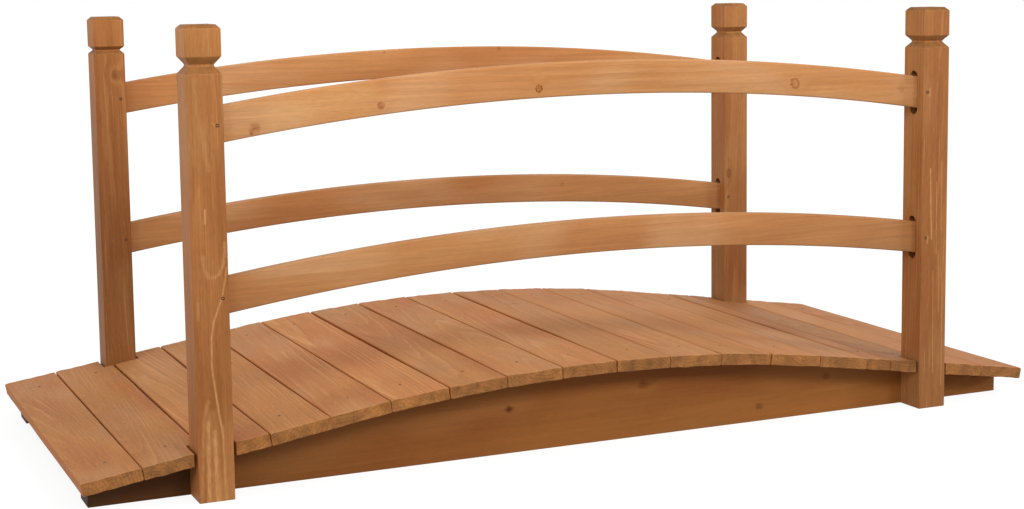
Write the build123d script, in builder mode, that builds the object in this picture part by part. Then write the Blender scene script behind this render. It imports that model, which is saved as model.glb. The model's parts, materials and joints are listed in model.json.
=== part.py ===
from build123d import *
import os
from math import cos, radians, sin, sqrt, tan

# Arched garden footbridge of stained softwood, in millimetres.
# +X runs along the walkway, +Y across it and +Z up. The origin is on the ground, under the middle.
# Two stringers with an arched top carry the deck planks, four posts stand against the stringers'
# outer faces, and bowed rails are let into round-ended mortises in the posts.

# Overall sizes: the deck between its end corners, the width over the posts, the posts' height
deck_length = 1400.0
bridge_width = 600.0
post_height = 585.0

# Posts: square section, distance from the deck's end to the post's axis, and the turned-looking head
post_size = 45.0
post_setback = 165.0
post_proud = 3.0
head_chamfer = 5.0
neck_drop = 49.0
neck_depth = 7.5
neck_half_height = 9.5
neck_flat = 2.0

# Stringers: thickness, height at the ends, crown arc and the straight ramps tangent to it
stringer_thickness = 45.0
stringer_end_height = 28.0
stringer_inset = 15.0
arch_radius = 2340.0
ramp_angle = 8.55

# Deck planks: full ones, the trimmed ones at both ends and one filler that takes what is left
plank_thickness = 16.0
plank_width = 78.5
end_plank_width = 74.0
plank_gap = 2.4
least_filler_width = 20.0
planks_past_filler = 2
plank_edge_radius = 2.0
plank_seat_clearance = 0.1
notch_side_clearance = 4.0
notch_depth_clearance = 1.0

# Rails: section, bow, place on the post and the fit in the mortise
rail_thickness = 16.0
rail_depth = 45.0
rail_radius = 3400.0
rail_edge_chamfer = 2.0
rail_end_drop = 121.5
rail_spacing = 211.0
mortise_depth = 16.0
mortise_side_clearance = 0.3

# Every cut runs past the face that it starts from by this much
cut_overrun = 10.0

# Places of the posts, the stringers and the rails
post_x = deck_length / 2 - post_setback
post_y = bridge_width / 2 - post_size / 2
post_inner_y = bridge_width / 2 - post_size
deck_width = bridge_width - 2 * post_proud
stringer_end_x = deck_length / 2 - stringer_inset

# The arched line under the planks: an arc over the middle, then a straight ramp to each end
ramp_turn = radians(ramp_angle)
arch_half_run = arch_radius * ramp_turn
arch_half_span = arch_radius * sin(ramp_turn)
arch_rise = arch_radius * (1 - cos(ramp_turn))
ramp_top_height = stringer_end_height + (stringer_end_x - arch_half_span) * tan(ramp_turn)
crown_height = ramp_top_height + arch_rise

# Run of the deck along that line, from end to end
end_corner_x = deck_length / 2 - plank_thickness * sin(ramp_turn)
half_run = arch_half_run + (end_corner_x - arch_half_span) / cos(ramp_turn)


def deck_plane(run):
    """The plane under a plank whose middle lies this far along the arched line from the crown."""
    side = 1 if run >= 0 else -1
    turn = side * min(abs(run) / arch_radius, ramp_turn)
    past_arch = run - turn * arch_radius
    x = arch_radius * sin(turn) + past_arch * cos(turn)
    z = crown_height - arch_radius * (1 - cos(turn)) - past_arch * sin(turn)
    lift = plank_seat_clearance
    return Plane(
        origin=(x + lift * sin(turn), 0, z + lift * cos(turn)),
        x_dir=(cos(turn), 0, -sin(turn)),
        z_dir=(sin(turn), 0, cos(turn)),
    )


def rail_drop(x, radius):
    """How far an arc of this radius has fallen below its crown at x."""
    return radius - sqrt(radius * radius - x * x)


os.makedirs("parts", exist_ok=True)

# Stringers: one straight ground edge, blunt ends, straight ramps and the arc over the middle
stringer_back_faces = {"stringer_front": post_inner_y - stringer_thickness, "stringer_back": -post_inner_y}
for name, back_face in stringer_back_faces.items():
    with BuildPart() as stringer:
        with BuildSketch(Plane.XZ.offset(back_face)) as side_profile:
            with BuildLine() as outline:
                Polyline(
                    (-arch_half_span, ramp_top_height),
                    (-stringer_end_x, stringer_end_height),
                    (-stringer_end_x, 0),
                    (stringer_end_x, 0),
                    (stringer_end_x, stringer_end_height),
                    (arch_half_span, ramp_top_height),
                )
                ThreePointArc(
                    (arch_half_span, ramp_top_height),
                    (0, crown_height),
                    (-arch_half_span, ramp_top_height),
                )
            make_face()
        extrude(amount=stringer_thickness)
    stringer.part.label = name
    export_step(stringer.part, f"parts/{name}.step")

# Widths of the planks from the left end: the filler stands just before the last few planks
plank_pitch = plank_width + plank_gap
clear_run = 2 * half_run - 2 * (end_plank_width + plank_gap)
full_planks = int((clear_run - least_filler_width) // plank_pitch)
filler_width = clear_run - full_planks * plank_pitch
middle_widths = [plank_width] * full_planks
middle_widths.insert(full_planks - planks_past_filler, filler_width)
plank_widths = [end_plank_width, *middle_widths, end_plank_width]

# Planks: flat boards, each tangent to the arch under its own middle, notched where a post passes
notch_length = post_size + 2 * notch_side_clearance
notch_inner_y = post_inner_y - notch_depth_clearance
notch_outer_y = deck_width / 2 + cut_overrun
notch_depth = notch_outer_y - notch_inner_y
notch_middle_y = (notch_outer_y + notch_inner_y) / 2
notch_height = crown_height + plank_thickness + cut_overrun
run = -half_run
for number, width in enumerate(plank_widths, start=1):
    name = f"deck_plank_{number:02d}"
    seat = deck_plane(run + width / 2)
    run += width + plank_gap
    with BuildPart() as plank:
        with BuildSketch(seat) as board:
            Rectangle(width, deck_width)
        extrude(amount=plank_thickness)
        top_face = plank.faces().sort_by(Axis(seat.origin, seat.z_dir))[-1]
        fillet(top_face.edges().filter_by(Axis.Y), radius=plank_edge_radius)
        reach = (notch_length + width) / 2
        for side in (-1, 1):
            if abs(side * post_x - seat.origin.X) < reach:
                with BuildSketch(Plane.XY) as notches:
                    with Locations((side * post_x, -notch_middle_y), (side * post_x, notch_middle_y)):
                        Rectangle(notch_length, notch_depth)
                extrude(amount=notch_height, mode=Mode.SUBTRACT)
    plank.part.label = name
    export_step(plank.part, f"parts/{name}.step")

# Rails: each bows up from post to post and ends against the floor of its mortises
post_face_x = post_x - post_size / 2
rail_end_x = post_face_x + mortise_depth
rail_middle_radius = rail_radius + rail_depth / 2
rail_crown = post_height - rail_end_drop + rail_drop(post_face_x, rail_middle_radius) - rail_depth / 2
rail_crowns = {"top_rail": rail_crown, "low_rail": rail_crown - rail_spacing}
rail_sides = {"front": -post_y, "back": post_y}
rail_low_edge_drop = rail_drop(rail_end_x, rail_radius)
rail_top_edge_drop = rail_drop(rail_end_x, rail_radius + rail_depth)
for level, crown in rail_crowns.items():
    for end_name, y in rail_sides.items():
        name = f"{level}_{end_name}"
        with BuildPart() as rail:
            with BuildSketch(Plane.XZ.offset(-y - rail_thickness / 2)) as bow:
                with BuildLine() as outline:
                    under = ThreePointArc(
                        (-rail_end_x, crown - rail_low_edge_drop),
                        (0, crown),
                        (rail_end_x, crown - rail_low_edge_drop),
                    )
                    over = ThreePointArc(
                        (-rail_end_x, crown + rail_depth - rail_top_edge_drop),
                        (0, crown + rail_depth),
                        (rail_end_x, crown + rail_depth - rail_top_edge_drop),
                    )
                    Line(under @ 0, over @ 0)
                    Line(under @ 1, over @ 1)
                make_face()
            extrude(amount=rail_thickness)
            chamfer(rail.edges().filter_by(GeomType.CIRCLE), length=rail_edge_chamfer)
        rail.part.label = name
        export_step(rail.part, f"parts/{name}.step")

# Posts: square timbers with a chamfered head over a neck cut into all four faces, and a
# round-ended mortise for each rail in the face towards the other post
neck_height = post_height - neck_drop
groove_half_height = neck_half_height + neck_flat / 2
mortise_width = rail_thickness + 2 * mortise_side_clearance
rail_entry_drop = rail_drop(post_face_x, rail_radius + rail_depth)
mortise_straight = rail_depth + rail_low_edge_drop - rail_entry_drop - rail_edge_chamfer
mortise_middle_drop = (rail_low_edge_drop + rail_entry_drop) / 2
for x_side, end_name in ((-1, "left"), (1, "right")):
    for y_side, side_name in ((-1, "front"), (1, "back")):
        name = f"post_{side_name}_{end_name}"
        foot = Plane(origin=(x_side * post_x, y_side * post_y, 0))
        neck = foot.offset(neck_height).origin
        faces_across = Plane(origin=neck, x_dir=(1, 0, 0), z_dir=(0, -1, 0))
        faces_along = Plane(origin=neck, x_dir=(0, 1, 0), z_dir=(1, 0, 0))
        with BuildPart() as post:
            with BuildSketch(foot) as section:
                Rectangle(post_size, post_size)
            extrude(amount=post_height)
            chamfer(post.faces().sort_by(Axis.Z)[-1].edges(), length=head_chamfer)
            for groove_plane in (faces_across, faces_along):
                with BuildSketch(groove_plane) as grooves:
                    with BuildLine() as groove:
                        Polyline(
                            (post_size / 2, groove_half_height),
                            (post_size / 2 - neck_depth, neck_flat / 2),
                            (post_size / 2 - neck_depth, -neck_flat / 2),
                            (post_size / 2, -groove_half_height),
                            close=True,
                        )
                    make_face()
                    mirror(about=Plane.YZ)
                extrude(amount=post_size, both=True, mode=Mode.SUBTRACT)
            for crown in rail_crowns.values():
                mouth = Plane(
                    origin=(x_side * post_face_x, y_side * post_y, crown + rail_depth / 2 - mortise_middle_drop),
                    x_dir=(0, 1, 0),
                    z_dir=(-x_side, 0, 0),
                )
                with BuildSketch(mouth) as mortise:
                    SlotCenterToCenter(mortise_straight, mortise_width, rotation=90)
                extrude(amount=-mortise_depth, mode=Mode.SUBTRACT)
        post.part.label = name
        export_step(post.part, f"parts/{name}.step")

print("crown of the stringers", round(crown_height, 2))
print("planks", len(plank_widths), "filler width", round(filler_width, 2))
print("crowns of the rails", {level: round(crown, 2) for level, crown in rail_crowns.items()})
print("mortise", round(mortise_straight + mortise_width, 2), "by", round(mortise_width, 2))
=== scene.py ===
# %% [markdown]
# # An arched garden footbridge in stained fir
# The CAD model gives every board of the bridge at its real size and place. This lesson gives those
# boards the look of the real thing: planed and stained softwood with growth rings, knots, eased
# edges, joints of uneven width and small dark screws. The frame is loaded first. Nothing that
# follows may grow the bridge.

# %% Load the frame
import json
import math
import random

import bmesh
import bpy
import numpy as np
from mathutils import Euler, Matrix, Vector


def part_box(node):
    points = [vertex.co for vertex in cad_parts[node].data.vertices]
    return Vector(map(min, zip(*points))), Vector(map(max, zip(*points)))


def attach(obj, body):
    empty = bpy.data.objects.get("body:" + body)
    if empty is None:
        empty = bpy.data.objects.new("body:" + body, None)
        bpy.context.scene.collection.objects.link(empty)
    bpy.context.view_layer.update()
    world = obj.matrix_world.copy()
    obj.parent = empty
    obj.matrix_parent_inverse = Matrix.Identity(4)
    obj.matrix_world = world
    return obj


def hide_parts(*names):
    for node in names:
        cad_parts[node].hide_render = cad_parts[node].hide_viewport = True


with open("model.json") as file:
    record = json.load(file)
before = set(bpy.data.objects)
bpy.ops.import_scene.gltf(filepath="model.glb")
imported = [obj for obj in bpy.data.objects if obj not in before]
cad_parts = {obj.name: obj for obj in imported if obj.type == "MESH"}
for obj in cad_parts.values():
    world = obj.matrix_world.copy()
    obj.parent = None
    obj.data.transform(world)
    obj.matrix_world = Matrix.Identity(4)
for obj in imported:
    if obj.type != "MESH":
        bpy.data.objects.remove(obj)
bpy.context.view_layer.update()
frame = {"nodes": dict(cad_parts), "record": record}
scene = bpy.context.scene
millimetre = 0.001

# %% [markdown]
# ## Small helpers
# Blender works with linear light, and a colour is written here in sRGB hex, so one function
# turns the second into the first. Every node tree below, for shading and for geometry, is built by
# one other function: it adds a node, applies its settings, and fills or links its inputs. Two more save
# repetition: one empties a new node tree, and one lays colours over each other.


# %% Colour and node helpers
def linear(hex_colour):
    """Linear RGBA of an sRGB hex colour such as #B57B50."""
    parts = [int(hex_colour[i:i + 2], 16) / 255 for i in (1, 3, 5)]
    return (*[p / 12.92 if p <= 0.04045 else ((p + 0.055) / 1.055) ** 2.4 for p in parts], 1.0)


def add(tree, kind, inputs=None, **settings):
    """Adds a node, applies its settings, then fills its inputs by name or number.

    An input takes a value, a socket, a node, which gives its first output in use, or a list of nodes.
    """
    node = tree.nodes.new(kind)
    for name, value in settings.items():
        setattr(node, name, value)
    for key, value in (inputs or {}).items():
        for source in value if isinstance(value, list) else [value]:
            if isinstance(source, bpy.types.Node):
                source = next(output for output in source.outputs if output.enabled)
            if isinstance(source, bpy.types.NodeSocket):
                tree.links.new(source, node.inputs[key])
            else:
                node.inputs[key].default_value = source
    return node


def bare_tree(owner):
    """The node tree of a material or of the world, emptied."""
    owner.use_nodes = True
    owner.node_tree.nodes.clear()
    return owner.node_tree


# A Mix node set to colours keeps its factor and its two colours at these sockets
mix_factor, mix_below, mix_above = 0, 6, 7


def lay_over(tree, colour, layers, **settings):
    """Lays hex colours or nodes over a colour one by one, each as far as its own share."""
    for share, tint in layers:
        above = linear(tint) if isinstance(tint, str) else tint
        mix_inputs = {mix_factor: share, mix_below: colour, mix_above: above}
        colour = add(tree, "ShaderNodeMix", mix_inputs, data_type="RGBA", **settings)
    return colour


print("helpers ready, stain sample", [round(c, 3) for c in linear("#B57B50")])

# %% [markdown]
# ## What fir looks like under a stain
# A softwood board is a slice of a log. Growth rings are cylinders round the pith, so a flat-sawn face
# shows nested arches, an edge shows straight lines and a sawn end shows arcs. A wood image could be
# wrapped round each board, but its grain would not meet at the corners. Here every point of a board
# carries its place in the log it was cut from, and the rings are drawn round the log's pith, so face,
# edge and end agree by themselves. The stain is a thin brown one: the dense late wood takes less of it
# and shows as paler lines, the open end grain drinks it and goes dull and dark.

# %% Finishes of the four kinds of board
# Sizes in millimetres. field and shade are the two tones that the stain clouds between, drift is where
# it went on thin, line is the late wood, end the sawn ends, pale the scuffed or resinous streaks and knot
# the knots. ring is the width of a year, growth how uneven the years are and ripple how far the grain
# strays. A share is how much of a trait the finish shows.
slots = ("deck", "post", "rail", "stringer")
finish_rows = {
    "material": (
        "stained_fir_brushed_boards", "stained_fir_planed_posts", "stained_fir_sanded_rails",
        "stained_fir_sawn_stringers",
    ),
    "fibre_axis": ("Y", "Z", "X", "X"),
    "field": ("#BC7F49", "#A96C3A", "#CD8F57", "#995E29"),
    "shade": ("#B57342", "#9C5F31", "#C2804B", "#8A4F20"),
    "drift": ("#BA8457", "#AF7744", "#D39C6B", "#975F2D"),
    "line": ("#D29763", "#BE8650", "#BA773E", "#A36B34"),
    "end": ("#925F31", "#86552A", "#9A6633", "#6D401B"),
    "pale": ("#DEA66B", "#D29E62", "#DCA870", "#A26F39"),
    "knot": ("#54270B", "#54270B", "#8A420E", "#54270B"),
    "ring": (4.6, 7.0, 7.5, 9.0),
    "growth": (4.0, 6.0, 6.0, 8.0),
    "ripple": (3.2, 1.8, 1.8, 1.8),
    "line_share": (0.44, 0.40, 0.36, 0.26),
    "early_share": (0.10, 0.07, 0.04, 0.07),
    "fibre_share": (0.06, 0.085, 0.065, 0.04),
    "mottle_share": (0.07, 0.07, 0.04, 0.05),
    "scar_share": (0.25, 0.24, 0.08, 0.06),
    "fleck_share": (0.30, 0.16, 0.06, 0.05),
    "wear_share": (0.30, 0.05, 0.04, 0.10),
    # The share of painted shade, warmed like light bounced between planks, on the sides of the deck's joints
    "grime_share": (0.55, 0.0, 0.0, 0.0),
    "roughness": ((0.56, 0.74), (0.50, 0.66), (0.50, 0.64), (0.56, 0.72)),
    "relief": (0.35, 0.25, 0.15, 0.25),
}
finishes = {slot: {name: row[place] for name, row in finish_rows.items()} for place, slot in enumerate(slots)}
print("finishes:", ", ".join(f["material"] for f in finishes.values()))

# %% [markdown]
# ## Boards as cuts from logs
# Each board gets three attributes. board is its own length, width and thickness measured from its
# middle, with every board set 10 m further along than the one before, so that a knot placed on one
# never shows on another. log is the same place in the tree: turned and tilted a little, and moved away
# from the pith, which makes the arches of a flat-sawn face. tone is how dark the board is drawn: the
# stain's own tone, and on the rails and stringers painted light and shade as well.

# %% Cutting a board from its log
board_spacing = 10.0
log_length = 24.0
draw = random.Random(11)
# How far the pith lies from the board's middle, across and through it, and how the board is turned
log_cuts = {
    "deck": {"across": 26, "through": (24, 62), "roll": 14, "tilt": 3.2},
    "post": {"across": 16, "through": (22, 46), "roll": 40, "tilt": 1.6},
    "rail": {"across": 20, "through": (40, 80), "roll": 30, "tilt": 1.2},
    "stringer": {"across": 40, "through": (50, 90), "roll": 30, "tilt": 1.0},
}
# How dark single boards are drawn, against the finish's own colour: pairs of a place along the board
# from its middle, in millimetres, and the tone there. Posts run from foot to head, rails and stringers from
# left to right. The planks differ by their stain, and the posts are darker towards their feet. The low
# rails are darker than the top ones, partly by their stain and partly as painted shade, and some rail ends
# by the posts are darkened as painted shade. The stringers are darkest at their low left ends: painted
# shade under the planks and beside the posts.
stain_and_shade_tones = {
    "post_front_left": ((-292, 0.96), (-150, 0.88), (60, 0.99), (230, 1.05), (292, 1.20)),
    "post_front_right": ((-292, 0.74), (-180, 0.80), (60, 0.98), (292, 1.02)),
    "post_back_left": ((-292, 0.58), (-60, 0.60), (120, 0.80), (220, 0.95), (292, 1.10)),
    "post_back_right": ((-292, 0.66), (-60, 0.74), (120, 0.92), (292, 1.10)),
    "top_rail_front": ((-520, 0.96), (-400, 1.02), (0, 0.95), (300, 0.97), (430, 0.93), (520, 0.86)),
    "low_rail_front": ((-520, 0.76), (-380, 0.80), (150, 0.84), (360, 0.78), (520, 0.67)),
    "top_rail_back": ((-520, 0.76), (-455, 0.92), (520, 0.90)),
    "low_rail_back": ((-520, 0.58), (-455, 0.68), (520, 0.66)),
    "stringer_back": ((-685, 0.40), (-600, 0.60), (-500, 0.85), (685, 0.95)),
    "stringer_front": (
        (-685, 0.17), (-620, 0.30), (-560, 0.26), (-508, 0.60), (-390, 0.74), (-250, 0.83),
        (400, 0.92), (540, 0.92), (600, 0.90), (685, 0.94),
    ),
    "deck_plank_02": ((0, 0.94),), "deck_plank_05": ((0, 1.12),), "deck_plank_06": ((0, 1.19),),
    "deck_plank_14": ((0, 0.94),), "deck_plank_15": ((0, 0.86),), "deck_plank_16": ((0, 0.82),),
}
tone_spread = {"deck": 0.07, "post": 0.0, "rail": 0.0, "stringer": 0.0}
# How much lighter the upper edge of a rail is drawn than its middle, and how much darker the lower one:
# painted light from above and painted shade below
rail_painted_light_lean, rail_depth = 0.08, 45.0
boards = {node: number for number, node in enumerate(sorted(frame["nodes"]))}
slot_of = {row["node"]: row["material_slot"] for row in frame["record"]["subparts"]}


def cut_from_log(piece, node, middle, along, across, bow=None):
    """Writes the attributes board, log and tone that the wood materials read."""
    slot = slot_of[node]
    cut = log_cuts[slot]
    mesh = piece.data
    points = np.empty(len(mesh.vertices) * 3)
    mesh.vertices.foreach_get("co", points)
    axes = np.array([along, across, along.cross(across)])
    local = (points.reshape(-1, 3) - np.array(middle)) @ axes.T
    on_board = local.copy()
    if bow is not None:
        on_board[:, 1] += bow(local[:, 0])
    turn = Euler((
        math.radians(draw.uniform(-cut["roll"], cut["roll"])),
        math.radians(draw.uniform(-cut["tilt"], cut["tilt"])),
        math.radians(draw.uniform(-cut["tilt"], cut["tilt"])),
    )).to_matrix()
    pith_across = draw.uniform(-cut["across"], cut["across"]) * millimetre
    pith_through = draw.uniform(*cut["through"]) * draw.choice((-1, 1)) * millimetre
    from_pith = (draw.uniform(0, log_length), pith_across, pith_through)
    # The tone along the board, which on rails and stringers is painted shade as well as stain
    along_points, tone_points = zip(*stain_and_shade_tones.get(node, ((0, 1.0),)))
    tones = np.interp(local[:, 0] / millimetre, along_points, tone_points)
    tones = tones + draw.uniform(-1, 1) * tone_spread[slot]
    # Rails lean lighter upwards and darker downwards: painted light and shade
    if slot == "rail":
        tones *= 1 + rail_painted_light_lean * on_board[:, 1] / (rail_depth / 2 * millimetre)
    places = {
        "board": on_board + np.array((boards[node] * board_spacing, 0, 0)),
        "log": local @ np.array(turn).T + np.array(from_pith),
    }
    for name, values in places.items():
        attribute = mesh.attributes.new(name, "FLOAT_VECTOR", "POINT")
        attribute.data.foreach_set("vector", values.ravel())
    attribute = mesh.attributes.new("tone", "FLOAT", "POINT")
    attribute.data.foreach_set("value", tones)


print("boards to cut:", len(boards))

# %% [markdown]
# ## Knots and streaks
# A knot is a branch that the board was sawn through. The rings swell round it, its rim is dark and its
# core a hard red brown. A streak is a late-wood line or a resin pocket that took hardly any stain. Noise
# could scatter both, but on a real board they are what the eye remembers, so they are placed one by one on
# the boards that show them: along the board and across it from its middle, in millimetres.

# %% Where the knots are
# Of each board: place along and across, radius, and how dark the core and the rim are
knots = {
    "top_rail_front": (
        (-470, -13, 6.5, 0.62, 0.15), (-475, -18, 2.8, 1.20, 0.30), (-306, -11, 4.4, 0.85, 0.40),
        (-87, -10, 4.4, 0.55, 1.10), (302, -6, 3.6, 0.75, 0.40), (306, -5, 6.2, 0.25, 0.65),
        (484, 2, 4.6, 0.35, 0.20),
    ),
    "top_rail_back": ((-99, 19, 1.8, 0.45, 0.20), (98, 19, 2.8, 0.50, 0.50), (390, -8, 4.0, 0.40, 0.30)),
    "low_rail_back": ((210, 6, 3.4, 0.40, 0.30),),
    "stringer_front": (
        (-122, 8, 4.3, 1.40, 0.20), (81, 22, 5.0, 0.65, 0.30), (268, -31, 4.2, 0.75, 0.30),
        (381, 2, 3.6, 0.80, 0.30), (647, -25, 3.4, 0.70, 0.30),
    ),
    "stringer_back": (
        (-250, 10, 4.6, 0.75, 0.30), (330, -20, 3.6, 0.65, 0.30), (60, -28, 3.0, 0.60, 0.30),
    ),
    "post_back_right": ((1, -14, 4.8, 0.60, 0.50),),
    "post_back_left": ((207, 6, 3.6, 0.50, 0.30),),
    "deck_plank_04": ((90, 14, 3.2, 0.40, 0.35),),
    "deck_plank_10": ((160, 10, 3.4, 0.40, 0.35),),
    "deck_plank_13": ((-60, 16, 3.0, 0.35, 0.35),),
    "deck_plank_17": ((40, -8, 3.4, 0.40, 0.35),),
}
knot_stretch = {"deck": 1.4, "post": 1.4, "rail": 1.0, "stringer": 1.4}


def on_the_row(node, along, across):
    """A place on a board, in metres along the row of all boards."""
    return Vector((boards[node] * board_spacing + along * millimetre, across * millimetre, 0))


def knots_of(slot):
    """Places, radii and darkness of the knots in boards of one slot."""
    return [
        (on_the_row(node, along, across), radius * millimetre, core, rim)
        for node in knots
        for along, across, radius, core, rim in knots[node]
        if slot_of[node] == slot
    ]


print("knots:", {slot: len(knots_of(slot)) for slot in finishes})

# %% Where the pale streaks are
# Of each board: half width, strength, and the points that the streak runs through, along and across
streaks = {
    "post_front_left": (
        (2.2, 0.72, ((-38, 14.0), (-52, 8.4), (-68, 2.4), (-88, -1.3), (-124, -1.8))),
        (2.3, 0.65, ((-124, -1.8), (-160, 2.4), (-214, 9.5))),
        (3.6, 0.45, ((28, 19.0), (4, 17.0), (-9, 11.6), (-14, 5.0))),
        (4.2, 0.34, ((-14, 5.0), (-13, -2.0), (-4, -7.0), (12, -8.5))),
        (2.0, 0.55, ((-2, 20.5), (-35, 14.5))),
        (3.0, 0.35, ((-44, -16.5), (-64, -17.0))),
        (2.0, 0.75, ((70, -4.2), (53, -4.8))),
        (6.0, 0.22, ((228, -11.5), (192, -10.0), (118, 1.7))),
        (4.0, 0.30, ((-166, -8.0), (-190, -14.0), (-292, -19.0))),
        (5.6, 0.62, ((-204, -1.0), (-292, 1.0))),
        (2.8, 0.40, ((-198, 9.0), (-292, 11.5))),
        (5.2, 0.60, ((-192, -8.5), (-292, -10.0))),
        (12.0, 0.22, ((-185, -4.0), (-292, -2.0))),
        (1.8, 0.70, ((174, 9.0), (171, 11.5))),
    ),
    "post_front_right": (
        (2.2, 0.72, ((60, -7.5), (-42, -4.5))),
        (1.6, 0.45, ((40, 3.5), (-64, 4.5))),
        (1.6, 0.40, ((-60, 8.5), (-150, 9.5))),
        (1.6, 0.40, ((-90, -1.0), (-240, 0.5))),
        (1.5, 0.42, ((70, 12.0), (-30, 12.5))),
        (1.5, 0.38, ((-110, 15.5), (-260, 16.0))),
        (2.4, 0.55, ((176, -11.0), (166, -11.5))),
        (2.4, 0.50, ((-38, -11.0), (-48, -11.5))),
    ),
    "top_rail_front": (
        (30.0, 0.45, ((-440, 0.0), (-330, 4.0))),
    ),
}


def streaks_of(slot):
    """Start, run, half width and strength of each straight stretch of the streaks on boards of one slot."""
    stretches = []
    for node in streaks:
        for width, strength, points in streaks[node] if slot_of[node] == slot else ():
            places = [on_the_row(node, *point) for point in points]
            pairs = zip(places, places[1:])
            stretches += [(start, end - start, width * millimetre, strength) for start, end in pairs]
    return stretches


print("stretches of streaks:", {slot: len(streaks_of(slot)) for slot in finishes})

# %% [markdown]
# ## The stained fir material
# One function builds the wood for all four kinds of board, because on the real bridge they are one
# timber under one stain, and only the sawing, the sanding and the depth of colour differ. The chain is
# the same as in the tree: waver the log a little, measure the distance from the pith, push the rings
# round the knots, draw the late-wood line once in each ring, then lay fibres, clouds of stain, knots,
# pale scars and the dull end grain over it. Fibres finer than a pixel would vanish, so their width is
# about four times that of a real bundle.

# %% Stained fir
# Sizes of the figure in millimetres, along and across the grain, and the detail of each noise
noise_sizes = {
    "waver": ((420, 60), 1.0), "ripple": ((90, 14), 1.0), "presence": ((260, 26), 1.0),
    "cloud": ((330, 70), 1.0), "drift": ((160, 90), 1.0), "fibre": ((60, 1.2), 2.0),
    "streak": ((170, 4.5), 1.0), "mottle": ((11, 2.4), 2.0), "scar": ((120, 2.4), 1.0),
    "fleck": ((9, 1.3), 1.0), "saw": ((16, 16), 3.0), "grit": ((7, 3.5), 2.0),
}
noise_roughness = 0.55
waver_reach, grit_reach = 12.0, 4.5
growth_size = 9.0
knot_push, no_knot = 5.0, 100.0
# A darker, warmer brown on the sides of the deck's joints: painted shade in the gaps, warmed like light
# bounced between the planks
joint_wall_shade = "#A2561C"
stain_ior, specular_level = 1.5, 0.16
relief_height, ring_relief_share = 0.6, 0.6
# On which side of a board's middle the face with its streaks is, and how far inside they end
shown_sides = {"deck": -1, "post": -1, "rail": 1, "stringer": 1}
front_fade = 8.0
# How far saw marks, mottle and late wood darken or lighten the sawn ends
sawn_shares = {"saw": (0.66, 1.34), "mottle": (0.80, 1.20), "late": (1.0, 0.80)}
# Where a part of the figure sets in and where it is complete, and the shares that it runs between if they
# are always the same. Knots count radii from their middle or their rim, rings count shares of a year,
# noise its own level, and faces how squarely they look along an axis.
spans = {
    "core": (0.2, 1.4), "rim": (0.05, 0.4), "swell": (0.5, 5.0, 1.0, 0.0),
    "rise": (0.40, 0.90, 0.0, 1.0), "fall": (0.91, 1.0, 1.0, 0.0), "early": (0.0, 0.35, 1.0, 0.0),
    "presence": (0.38, 0.66, 0.06, 1.0), "patchy": (0.36, 0.62, 0.55, 1.0), "broken": (0.40, 0.60, 0.50, 1.0),
    "cloud": (0.34, 0.66, 0.0, 1.0), "drift": (0.45, 0.70, 0.0, 0.8), "line": (0.0, 1.0, 0.0),
    "scar": (0.66, 0.76, 0.0), "fleck": (0.66, 0.78, 0.0), "whole": (0.0, 1.0), "level": (0.3, 0.7),
    "end": (0.35, 0.80, 0.0, 0.92), "edge": (0.80, 0.97), "side": (0.35, 0.85, 0.0),
}
eased = {"interpolation_type": "SMOOTHSTEP"}


def span(name, value, *shares):
    """Inputs of a Map Range node that takes a value across a named span, from one share to another."""
    start, stop, low, high = (*spans[name], *shares)
    return {"Value": value, "From Min": start, "From Max": stop, "To Min": low, "To Max": high}


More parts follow.
